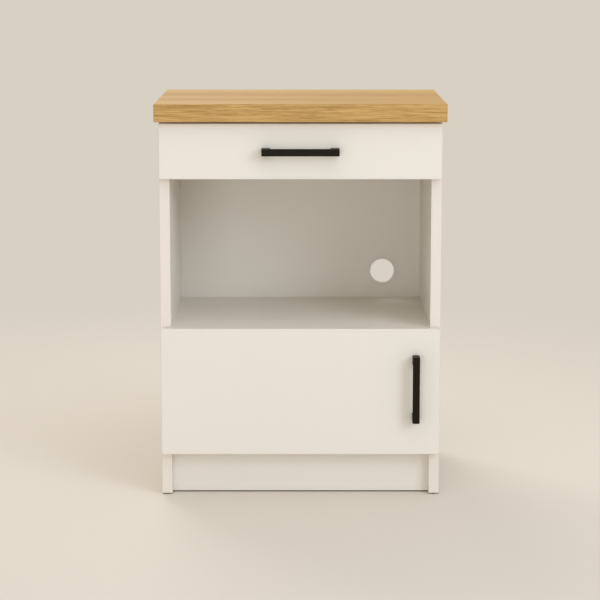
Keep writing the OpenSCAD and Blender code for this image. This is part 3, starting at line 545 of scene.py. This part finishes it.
# Screws with their threads. Sizes are shares of the head's radius where the word starts with head or
# cross, and of the thread's radius elsewhere, if no note says otherwise.
screwLook = {
    "turnRows": 6,  # rings for each turn of the thread
    "core": 0.74,
    "neck": 0.12,  # the share of the shank's length that has no thread
    "headRings": (0.66, 0.76, 0.86),
    "headCrown": 0.12,
    "headRim": 0.04,
    "sunkRim": (1.5, 2.5),  # from where to where a sunk head's rim stands upright, in rims
    "panRim": (1.2, 2.0),  # how deep the edge of any other head starts and ends, in crowns
    "crossLong": 0.58,
    "crossWide": 0.13,
    "crossDeep": 0.5,
    "crossRise": 0.9,  # how much less deep the cross gets away from the middle
    "crossRings": (0, 0.5, 0.93),  # rings inside the cross, as shares of its outline
    "crossColumns": 4,  # from a corner of the cross to the middle between two bars
    "point": 2.2,
    "blunt": 0.4,
    "taper": 0.7,  # the power of the tip's narrowing: 1 is a cone, and less is rounder
}
screwSets = {
    "worktop_screws": {"axis": 2, "pitch": 0.0018, "sunk": False},
    "back_panel_screws": {"axis": 1, "pitch": 0.0014, "sunk": True},
    "hinge_plate_screws": {"axis": 0, "pitch": 0.0016, "sunk": False},
    "hinge_arm_screws": {"axis": 0, "pitch": 0.0010, "sunk": False},
    "hinge_cup_screws": {"axis": 1, "pitch": 0.0016, "sunk": False},
    "runner_screws": {"axis": 0, "pitch": 0.0018, "sunk": False},
    "drawer_rail_screws": {"axis": 2, "pitch": 0.0018, "sunk": False},
    "drawer_corner_screws": {"axis": 0, "pitch": 0.0014, "sunk": True},
    "drawer_front_screws": {"axis": 1, "pitch": 0.0018, "sunk": False},
    "door_handle_screws": {"axis": 1, "pitch": 0.0010, "sunk": False},
    "drawer_handle_screws": {"axis": 1, "pitch": 0.0010, "sunk": False},
}
machinePitch = 0.0012  # a finer thread than this has a blunt end
toothTop, toothSlope = 1.25, 2  # the tooth's height before it is cut at 0 and 1, and its fall from there
samePoint = 6  # decimals of a metre that the points of one place share
endShare = 0.1  # of a screw's length, near each end: the wider end is the head
tiny = 1e-9
smoothAngle = 32  # degrees


def solids(name):
    # The points of each separate solid of a node: every triangle passes its lowest label on to its
    # corners until none changes.
    mesh = frame["nodes"][name].data
    points = np.empty(3 * len(mesh.vertices))
    mesh.vertices.foreach_get("co", points)
    corners = np.empty(len(mesh.loops), np.int32)
    mesh.loops.foreach_get("vertex_index", corners)
    places, same = np.unique(points.reshape(-1, 3).round(samePoint), axis=0, return_inverse=True)
    faces = same.ravel()[corners].reshape(-1, 3)
    label = np.arange(len(places))
    while True:
        lower = label.copy()
        np.minimum.at(lower, faces, label[faces].min(1)[:, None])
        if (lower == label).all():
            return [places[label == one] for one in np.unique(label)]
        label = lower


def crossAngles(look):
    # The angles of the columns of a head's rings, which meet every corner of its cross.
    corner = math.atan2(look["crossWide"], look["crossLong"])
    eighth = np.append(0, np.linspace(corner, np.pi / 4, look["crossColumns"]))
    quarter = np.append(eighth, np.pi / 2 - eighth[-2:0:-1])
    return (np.arange(4)[:, None] * np.pi / 2 + quarter).ravel()


def crossOutline(look, theta):
    # The radius of the cross's outline at each angle: at each the farther edge of two crossed bars.
    cosine = np.maximum(abs(np.cos(theta)), tiny)
    sine = np.maximum(abs(np.sin(theta)), tiny)
    level = np.minimum(look["crossLong"] / cosine, look["crossWide"] / sine)
    upright = np.minimum(look["crossWide"] / cosine, look["crossLong"] / sine)
    return np.maximum(level, upright)


def tooth(depth, theta, pitch):
    # A thread's height from 0 to 1: a saw tooth that climbs one pitch for each turn, and that starts
    # from nothing over its first pitch.
    wave = abs(2 * ((depth / pitch + theta / (2 * np.pi)) % 1) - 1)
    return np.clip(toothTop - toothSlope * wave, 0, 1) * np.clip((depth - depth[0]) / pitch, 0, 1)


def spun(cloud, axis, side, radius, down, theta):
    # Rings round an axis through the middle of the cloud. down is the depth below the head's end,
    # which lies to the side named.
    middle = (cloud.min(0) + cloud.max(0)) / 2
    along = np.eye(3)[axis] * side
    one = np.eye(3)[(axis + 1) % 3]
    other = np.cross(along, one)
    rings = np.cos(theta)[:, None] * one + np.sin(theta)[:, None] * other
    head = middle + along * np.ptp(cloud[:, axis]) / 2
    return head + radius[..., None] * rings - down[..., None] * along


def screw(cloud, kind, turn):
    # A screw the size of a solid's points. Its rings run from the bottom of the cross in its head
    # through the crown, the rim and a seat that is flat or a cone, and down the thread to the tip.
    look, axis, pitch = screwLook, kind["axis"], kind["pitch"]
    middle = (cloud.min(0) + cloud.max(0)) / 2
    across = np.linalg.norm(np.delete(cloud - middle, axis, 1), axis=1)
    up = cloud[:, axis] - cloud[:, axis].min()
    length = up.max()
    upper, lower = across[up > length * (1 - endShare)], across[up < length * endShare]
    side = 1 if upper.max() > lower.max() else -1
    up = up if side > 0 else length - up  # now measured from the tip to the head
    headR = across.max()
    outerR = across[up < length / 2].max()
    seat = length - up[across > (headR + outerR) / 2].min()

    theta = crossAngles(look)
    cross = headR * crossOutline(look, theta)
    inside = np.array(look["crossRings"])[:, None] * cross
    bottom = look["crossDeep"] * (headR - look["crossRise"] * inside)
    rim = headR * look["headRim"]
    crown = rim / 2 if kind["sunk"] else headR * look["headCrown"]
    face = np.vstack([cross, headR * np.array(look["headRings"])[:, None] + 0 * theta])
    if kind["sunk"]:
        start, end = np.array(look["sunkRim"]) * rim
        edge = [(headR, start), (headR, end), (outerR, headR - outerR + end)]
    else:
        start, end = np.array(look["panRim"]) * crown
        edge = [(headR - rim, start), (headR, end), (headR, seat - rim / 2), (outerR, seat)]
    edgeR, edgeDown = np.array(edge).T[..., None] + 0 * theta
    neck = edgeDown.max() + (length - edgeDown.max()) * look["neck"]
    rows = np.linspace(neck, length, int((length - neck) / pitch * look["turnRows"]) + 1)[:-1]
    depth = rows[:, None] + 0 * theta
    tipLong = outerR * (look["blunt"] if pitch < machinePitch else look["point"])
    tip = np.clip((length - depth) / tipLong, 0, 1) ** look["taper"]
    shank = outerR * (look["core"] + (1 - look["core"]) * tooth(depth, theta, pitch)) * tip
    radius = np.vstack([inside, face, edgeR, shank, 0 * theta])
    down = np.vstack([bottom, crown * (face / headR) ** 2, edgeDown, depth, length + 0 * theta])
    return spun(cloud, axis, side, radius, down, theta + turn)


def closedSkin(rings):
    # Points, triangles and quads of a skin through rings of points, whose first and last are poles.
    rows, columns, _ = rings.shape
    points = np.vstack([rings[0, :1], rings[1:-1].reshape(-1, 3), rings[-1, :1]])
    here = np.arange(columns)
    there = (here + 1) % columns
    last = len(points) - 1
    first = np.stack([0 * here, here + 1, there + 1], -1)
    final = np.stack([0 * here + last, last - columns + there, last - columns + here], -1)
    start = 1 + columns * np.arange(rows - 3)[:, None]
    quads = np.stack([start + here, start + columns + here, start + columns + there, start + there], -1)
    return points, np.vstack([first, final]), quads.reshape(-1, 4)


def addPiece(name, skins, material, body, slot, *nodes):
    # One mesh of several closed skins, which stands for the nodes named.
    points, triangles, quads = zip(*skins)
    shifts = np.cumsum([0] + [len(some) for some in points[:-1]])
    triangles = np.vstack([some + shift for some, shift in zip(triangles, shifts)])
    quads = np.vstack([some + shift for some, shift in zip(quads, shifts)])
    mesh = bpy.data.meshes.new(name)
    mesh.from_pydata(np.vstack(points).tolist(), [], triangles.tolist() + quads.tolist())
    mesh.polygons.foreach_set("use_smooth", np.ones(len(mesh.polygons), bool))
    mesh.set_sharp_from_angle(angle=math.radians(smoothAngle))
    mesh.materials.append(material)
    piece = bpy.data.objects.new(name, mesh)
    bpy.context.scene.collection.objects.link(piece)
    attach(piece, body)
    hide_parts(*nodes)


seed = 11
chance = np.random.default_rng(seed)  # how far each screw, bolt and dowel happens to be turned
screwSteel = newMaterial("screwSteel", {"Metallic": 1.0}, metal(metalLook["steel"]))
bodyOf = {node: body for body, nodes in frame["record"]["behaviour"]["bodies"].items() for node in nodes}
for name, kind in screwSets.items():
    skins = [closedSkin(screw(cloud, kind, chance.uniform(0, np.pi / 2))) for cloud in solids(name)]
    addPiece("threaded_" + name, skins, screwSteel, bodyOf[name], "screw_steel", name)
print("screws made")

boltLook = {"columns": 32, "pitch": 0.0015, "turnRows": 6, "core": 0.76, "tip": 0.0006}
dowelLook = {"flutes": 18, "fluteColumns": 6, "deep": 0.08, "sharp": 3}
sameDepth = 5  # decimals of a metre that the points of one ring share


def turned(cloud, axis):
    # The side of a turned solid's wider end, and its profile from there as radii and depths. Where
    # two radii share a depth, the one nearer to the last comes first.
    middle = (cloud.min(0) + cloud.max(0)) / 2
    across = np.linalg.norm(np.delete(cloud - middle, axis, 1), axis=1).round(sameDepth)
    up = cloud[:, axis]
    near = 10 ** -sameDepth
    upper, lower = across[up > up.max() - near], across[up < up.min() + near]
    side = 1 if upper.max() >= lower.max() else -1
    down = (up.max() - up if side > 0 else up - up.min()).round(sameDepth)
    profile = [(0.0, 0.0)]
    for depth in np.unique(down):
        radii = np.unique(across[down == depth])
        profile += [(radius, depth) for radius in radii[np.argsort(abs(radii - profile[-1][0]))]]
    radius, down = np.array(profile + [(0.0, down.max())]).T
    return side, radius, down


def camBolt(cloud, turn):
    # The solid's profile, with a thread in place of its last step.
    look = boltLook
    side, radius, down = turned(cloud, 0)
    long = down[-2] - down[-3]
    rows = np.linspace(down[-3], down[-2], int(long / look["pitch"] * look["turnRows"]) + 1)
    theta = circle(look["columns"])
    depth = rows[:, None] + 0 * theta
    high = np.minimum(tooth(depth, theta, look["pitch"]), (rows[-1] - depth) / look["tip"])
    thread = radius[-2] * (look["core"] + (1 - look["core"]) * high)
    plain = radius[:-3, None] + 0 * theta
    deep = down[:-3, None] + 0 * theta
    radius = np.vstack([plain, thread, 0 * theta])
    return spun(cloud, 0, side, radius, np.vstack([deep, depth, depth[-1:]]), theta + turn)


def dowel(cloud, turn):
    # The solid's profile, whose full radius is less by the power of a cosine wave: its glue flutes.
    look = dowelLook
    side, radius, down = turned(cloud, 0)
    theta = circle(look["flutes"] * look["fluteColumns"])
    flute = (0.5 + 0.5 * np.cos(look["flutes"] * theta)) ** look["sharp"]
    full = (radius == radius.max())[:, None]
    radius = radius[:, None] * (1 - look["deep"] * flute * full)
    return spun(cloud, 0, side, radius, down[:, None] + 0 * theta, theta + turn)


for name, shape, material, slot in (("cam_bolts", camBolt, screwSteel, "screw_steel"),
                                    ("dowels", dowel, newMaterial("beech", {}, beech), "beech_dowel")):
    skins = [closedSkin(shape(cloud, chance.uniform(0, np.pi / 2))) for cloud in solids(name)]
    addPiece("turned_" + name, skins, material, bodyOf[name], slot, name)
print("cam bolts and dowels made")
